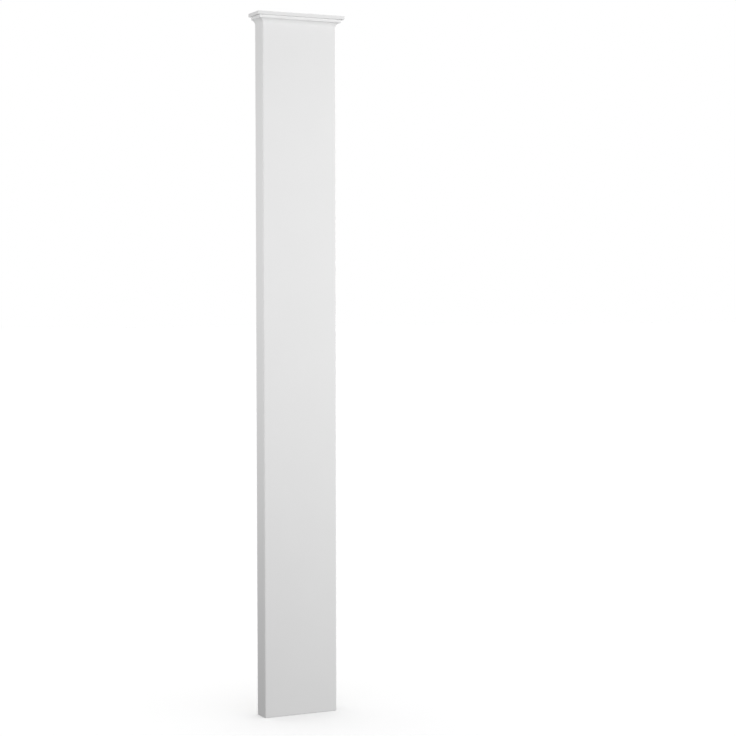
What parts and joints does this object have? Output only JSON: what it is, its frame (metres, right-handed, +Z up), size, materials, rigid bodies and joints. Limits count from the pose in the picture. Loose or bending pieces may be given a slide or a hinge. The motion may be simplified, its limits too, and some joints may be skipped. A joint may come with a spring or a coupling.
{
  "type": "pilaster",
  "caption": "Tall, flat-fronted wall pilaster with a plain rectangular shaft and a small cap moulding that returns to the wall on both sides.",
  "frame": {"origin": "middle of the flat back face, which lies against the wall, at half the height", "axes": "+Z up along the shaft, +Y into the wall, out of the back face, +X across the front to the viewer's right"},
  "size_m": [0.265, 0.075, 2],
  "materials": {
    "primed_polyurethane": "matte"
  },
  "bodies": {
    "root": {"pilaster_moulding": "primed_polyurethane"}
  },
  "joints": []
}
